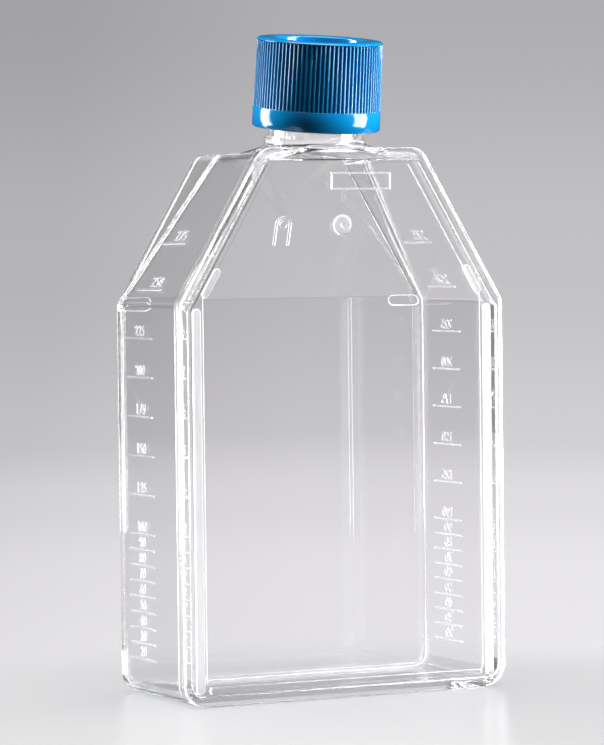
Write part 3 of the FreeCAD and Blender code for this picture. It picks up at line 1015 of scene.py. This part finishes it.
@dataclass
class Studio:
    """Pale floor that sweeps up into a backdrop glowing with painted light, soft lights and the
    camera.
    """

    pieces: list[bpy.types.Object]
    floor_radius: float = 1.1
    floor_gap: float = 0.1 * MM
    sweep_radius: float = 0.5
    sweep_steps: int = 16
    spin_steps: int = 96
    spin_merge: float = 0.01 * MM
    wall_height: float = 1.2
    paper: Colour = (0.8, 0.79, 0.8)
    paper_centre: float = -0.07
    paper_roughness: float = 0.24
    paper_specular: float = 0.005
    paper_reach: Pair = (0.115, 0.18)
    # Painted light: the backdrop's glow at each distance out and up from the flask, bright near it
    # and darker further away.
    tones: tuple[Pair, ...] = (
        (0.1, 0.83), (0.3, 0.81), (0.63, 0.74), (1.1, 0.64), (1.6, 0.54), (2.06, 0.43), (3.2, 0.3),
    )
    tone_tint: Colour = (1.0, 0.98, 1.01)
    # How much height counts against distance along the floor in the painted light's fall-off.
    climb_share: float = 2.0
    # Painted shade on the left of the view: the glow's share there, and the reach across over which
    # it falls.
    dim_side: float = 0.85
    dim_reach: Pair = (-0.15, 0.0)
    # Painted shade on the backdrop wall: the glow's share away from straight behind the flask, the
    # headings between which it fades, and the radii over which the wall takes it on.
    dark_end: float = 0.55
    dark_reach: Pair = (0.7, 0.9)
    wall_reach: Pair = (1.0, 1.3)
    floor_light: Softbox = Softbox(
        "floor_light", turn=0.0, height=1.6, distance=0.01, width=2.0, tall=2.0, power=40.0
    )
    flask_lights: tuple[Softbox, ...] = (
        Softbox(
            "left_strip", turn=-105.0, height=0.38, distance=0.45, width=0.21, tall=0.84, power=8.0,
            aim_height=0.38,
        ),
        Softbox(
            "right_strip", turn=86.0, height=0.38, distance=0.45, width=0.23, tall=0.84, power=10.8,
            aim_height=0.38,
        ),
        Softbox("overhead", turn=0.0, height=1.0, distance=0.01, width=0.7, tall=0.7, power=6.0),
    )
    air: Colour = (0.9, 0.92, 1.0)
    air_strength: float = 0.05
    camera_azimuth: float = -26.608
    camera_pitch: float = 2.082
    camera_roll: float = -0.657
    camera_distance: float = 0.87647
    aim_across: float = -1.547 * MM
    aim_height: float = 75.172 * MM
    sensor: float = 36.0
    focal_share: float = 4.97405
    clip_start: float = 0.01

    def build(self) -> None:
        """Build everything that isn't the object."""
        self.lights(self.backdrop())
        self.camera()

    def backdrop(self) -> bpy.types.Object:
        """Spin the floor and its sweep round the flask.

        Returns:
            The floor.
        """
        shape = bmesh.new()
        level = -self.floor_gap
        points = [(0.0, level), (self.floor_radius / 2, level), (self.floor_radius, level)]
        for step in range(1, self.sweep_steps + 1):
            angle = math.pi / 2 * step / self.sweep_steps
            points.append((
                self.floor_radius + self.sweep_radius * math.sin(angle),
                level + self.sweep_radius * (1 - math.cos(angle)),
            ))
        points.append((self.floor_radius + self.sweep_radius, self.sweep_radius + self.wall_height))
        verts = [shape.verts.new((radius, 0, height)) for radius, height in points]
        edges = [shape.edges.new(pair) for pair in zip(verts, verts[1:])]
        bmesh.ops.spin(
            shape, geom=verts + edges, cent=(0, 0, 0), axis=(0, 0, 1),
            angle=math.tau, steps=self.spin_steps, use_merge=True,
        )
        bmesh.ops.remove_doubles(shape, verts=shape.verts, dist=self.spin_merge)
        bmesh.ops.recalc_face_normals(shape, faces=shape.faces)
        floor = mesh_object("studio_floor", shape)
        floor.data.shade_smooth()
        floor.data.materials.append(self.stage_material())
        floor.visible_diffuse = False
        floor.visible_glossy = False
        return floor

    def stage_material(self) -> bpy.types.Material:
        """Pale satin paper round the flask that runs out into a backdrop glowing with painted
        light, with painted shade on its left and away from straight behind the flask.

        Returns:
            The material.
        """
        material, shader, surface = start_material("studio_paper")
        surface.inputs["Base Color"].default_value = (*self.paper, 1.0)
        surface.inputs["Roughness"].default_value = self.paper_roughness
        surface.inputs["Specular IOR Level"].default_value = self.paper_specular
        parts = shader.add("SeparateXYZ")
        shader.join(shader.add("TexCoord").outputs["Object"], parts.inputs["Vector"])
        turn = math.radians(self.camera_azimuth)
        across = self.along(shader, parts, math.cos(turn), math.sin(turn))
        ahead = self.along(shader, parts, -math.sin(turn), math.cos(turn))
        radius = shader.length(parts.outputs["X"], parts.outputs["Y"])
        rise = shader.maths("MULTIPLY", parts.outputs["Z"], self.climb_share)
        # The backdrop glows instead of being lit: painted light that stands in for the studio's
        # lamps.
        painted_glow = shader.add("Emission")
        tone = self.backdrop_tone(shader, shader.maths("ADD", radius, rise))
        shader.join(tone, painted_glow.inputs["Color"])
        # Painted shade: the glow dims towards the left of the view.
        left_shade = shader.remap(across, self.dim_reach, (self.dim_side, 1.0))
        # Painted shade: on the wall, the glow falls away from straight behind the flask.
        heading = shader.maths("DIVIDE", ahead, radius)
        side_shade = shader.remap(heading, self.dark_reach, (self.dark_end, 1.0))
        wall = shader.remap(radius, self.wall_reach, (1.0, 0.0))
        lit = shader.maths("MAXIMUM", side_shade.outputs["Result"], wall.outputs["Result"])
        shader.join(shader.maths("MULTIPLY", left_shade.outputs["Result"], lit), painted_glow.inputs["Strength"])
        forward = shader.maths("SUBTRACT", ahead, self.paper_centre)
        reach = shader.remap(shader.length(forward, across), self.paper_reach)
        reach.interpolation_type = "SMOOTHSTEP"
        mask = reach.outputs["Result"]
        shader.finish(shader.mix(mask, surface.outputs["BSDF"], painted_glow.outputs["Emission"]))
        material.cycles.emission_sampling = "NONE"
        return material

    def backdrop_tone(self, shader: Shader, path: Socket) -> Socket:
        """Painted light of the backdrop along the way out from the flask: brighter near it, darker
        further out and up.

        Args:
            shader: the material's helper.
            path: the way out, as a socket.

        Returns:
            The tone's colour socket.
        """
        ramp = shader.add("ValToRGB")
        ramp.color_ramp.interpolation = "EASE"
        longest = self.tones[-1][0]
        stops = ramp.color_ramp.elements
        at_start = len(stops)
        for index, (distance, tone) in enumerate(self.tones):
            stop = stops[index] if index < at_start else stops.new(distance / longest)
            stop.position = distance / longest
            stop.color = (*(tone * tint for tint in self.tone_tint), 1.0)
        shader.join(shader.maths("DIVIDE", path, longest), ramp.inputs["Fac"])
        return ramp.outputs["Color"]

    def along(self, shader: Shader, parts: bpy.types.Node, east: float, north: float) -> Socket:
        """Distance of a point from the flask along a level direction.

        Args:
            shader: the material's helper.
            parts: the split place of the point.
            east: X of the direction.
            north: Y of the direction.

        Returns:
            The distance as a socket.
        """
        along_x = shader.maths("MULTIPLY", parts.outputs["X"], east)
        along_y = shader.maths("MULTIPLY", parts.outputs["Y"], north)
        return shader.maths("ADD", along_x, along_y)

    def lights(self, floor: bpy.types.Object) -> None:
        """Hang two tall softboxes and one overhead for the flask, and a wide one for the floor.

        Args:
            floor: the studio floor.
        """
        self.floor_light.build(self.camera_azimuth, [floor])
        for softbox in self.flask_lights:
            softbox.build(self.camera_azimuth, self.pieces)
        world = bpy.data.worlds.new("studio_air")
        world.use_nodes = True
        background = world.node_tree.nodes["Background"]
        background.inputs["Color"].default_value = (*self.air, 1.0)
        background.inputs["Strength"].default_value = self.air_strength
        bpy.context.scene.world = world

    def camera(self) -> None:
        """Set the camera where the flask is seen from a little above its middle."""
        turn = math.radians(self.camera_azimuth)
        pitch = math.radians(self.camera_pitch)
        roll = math.radians(self.camera_roll)
        level = math.cos(pitch)
        ahead = Vector((-math.sin(turn) * level, math.cos(turn) * level, -math.sin(pitch)))
        right = Vector((math.cos(turn), math.sin(turn), 0))
        up = right.cross(ahead)
        tilted_right = right * math.cos(roll) + up * math.sin(roll)
        tilted_up = up * math.cos(roll) - right * math.sin(roll)
        aim = right * self.aim_across + Vector((0, 0, self.aim_height))
        data = bpy.data.cameras.new("camera")
        data.sensor_width = self.sensor
        data.lens = self.focal_share * self.sensor
        data.clip_start = self.clip_start
        holder = bpy.data.objects.new("camera", data)
        turn_matrix = Matrix((tilted_right, tilted_up, -ahead)).transposed().to_4x4()
        holder.matrix_world = Matrix.Translation(aim - ahead * self.camera_distance) @ turn_matrix
        bpy.context.scene.collection.objects.link(holder)
        bpy.context.scene.camera = holder


def light_paths() -> None:
    """Let light pass all the clear walls that lie one behind another."""
    cycles = bpy.context.scene.cycles
    cycles.max_bounces = BOUNCES
    cycles.glossy_bounces = BOUNCES
    cycles.transmission_bounces = BOUNCES
    cycles.transparent_max_bounces = TRANSPARENT_BOUNCES
    cycles.caustics_refractive = False
    bpy.context.scene.view_settings.view_transform = "Standard"


def main() -> None:
    """Build the flask's pieces in order, then the studio."""
    finishes = build_finishes()
    vessel = Vessel(finishes, FillingFigures().shape()).build()
    closure = Closure(finishes).build()
    Studio([vessel, *closure]).build()
    light_paths()


if __name__ == "__main__":
    main()
